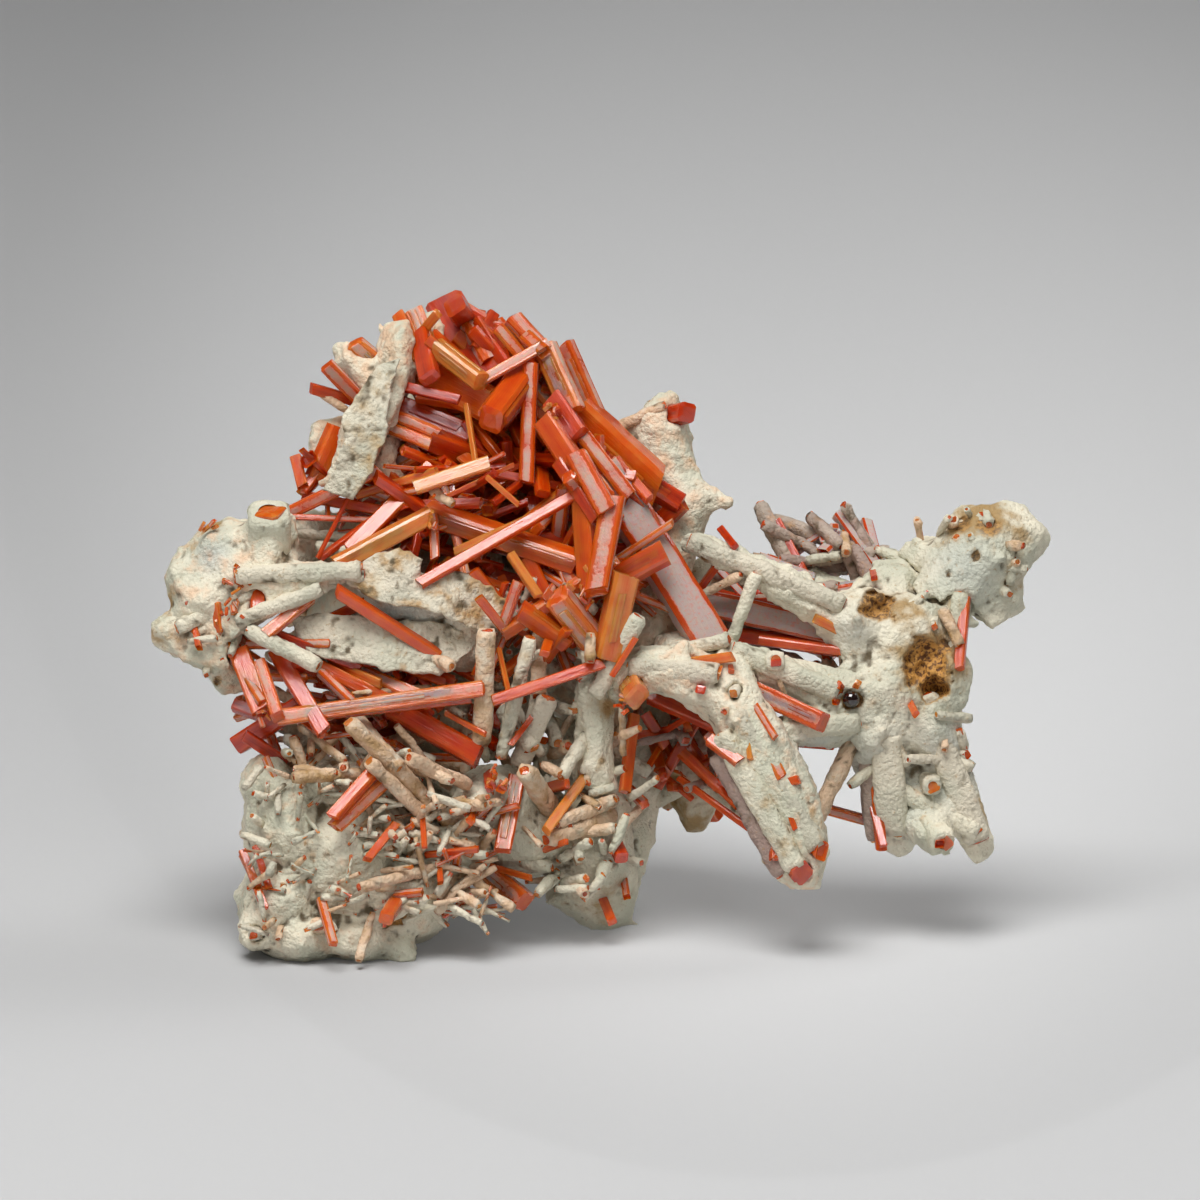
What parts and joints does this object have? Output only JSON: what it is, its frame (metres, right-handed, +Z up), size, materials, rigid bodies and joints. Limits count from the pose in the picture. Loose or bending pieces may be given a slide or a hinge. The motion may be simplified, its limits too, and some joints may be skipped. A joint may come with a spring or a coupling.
{
  "type": "crocoite on matrix",
  "caption": "Mineral specimen: long orange-red crocoite prisms criss-crossing over a pale, lumpy, branching matrix with a flat-bottomed block to stand on.",
  "frame": {"origin": "middle of the bounding box on the ground, under the specimen", "axes": "+X to the right as the specimen is seen from its display side, +Y away from the display side, +Z up"},
  "size_m": [0.0905, 0.0456, 0.0635],
  "materials": {
    "crocoite": "adamantine, clear orange-red",
    "matrix": "matt, porcelain-like crust"
  },
  "bodies": {
    "root": {"crocoite_block_1": "crocoite", "crocoite_block_10": "crocoite", "crocoite_block_2": "crocoite", "crocoite_block_3": "crocoite", "crocoite_block_4": "crocoite", "crocoite_block_5": "crocoite", "crocoite_block_6": "crocoite", "crocoite_block_7": "crocoite", "crocoite_block_8": "crocoite", "crocoite_block_9": "crocoite", "crocoite_left_1": "crocoite", "crocoite_left_2": "crocoite", "crocoite_left_3": "crocoite", "crocoite_left_4": "crocoite", "crocoite_left_5": "crocoite", "crocoite_left_6": "crocoite", "crocoite_left_7": "crocoite", "crocoite_left_8": "crocoite", "crocoite_ridge_1": "crocoite", "crocoite_ridge_2": "crocoite", "crocoite_ridge_3": "crocoite", "crocoite_ridge_4": "crocoite", "crocoite_ridge_5": "crocoite", "crocoite_ridge_6": "crocoite", "crocoite_ridge_7": "crocoite", "crocoite_spill_1": "crocoite", "crocoite_spill_2": "crocoite", "crocoite_star_1": "crocoite", "crocoite_star_10": "crocoite", "crocoite_star_11": "crocoite", "crocoite_star_12": "crocoite", "crocoite_star_13": "crocoite", "crocoite_star_2": "crocoite", "crocoite_star_3": "crocoite", "crocoite_star_4": "crocoite", "crocoite_star_5": "crocoite", "crocoite_star_6": "crocoite", "crocoite_star_7": "crocoite", "crocoite_star_8": "crocoite", "crocoite_star_9": "crocoite", "crocoite_vug_1": "crocoite", "crocoite_vug_2": "crocoite", "crocoite_vug_3": "crocoite", "crocoite_vug_4": "crocoite", "crocoite_vug_5": "crocoite", "crocoite_vug_6": "crocoite", "crocoite_vug_7": "crocoite", "crocoite_vug_8": "crocoite", "matrix_block": "matrix", "matrix_horn": "matrix", "matrix_left_arm": "matrix", "matrix_left_plate": "matrix", "matrix_rear_limb": "matrix", "matrix_ridge": "matrix", "matrix_shelf": "matrix", "matrix_star": "matrix", "matrix_trunk": "matrix", "matrix_vug_wall": "matrix"}
  },
  "joints": []
}
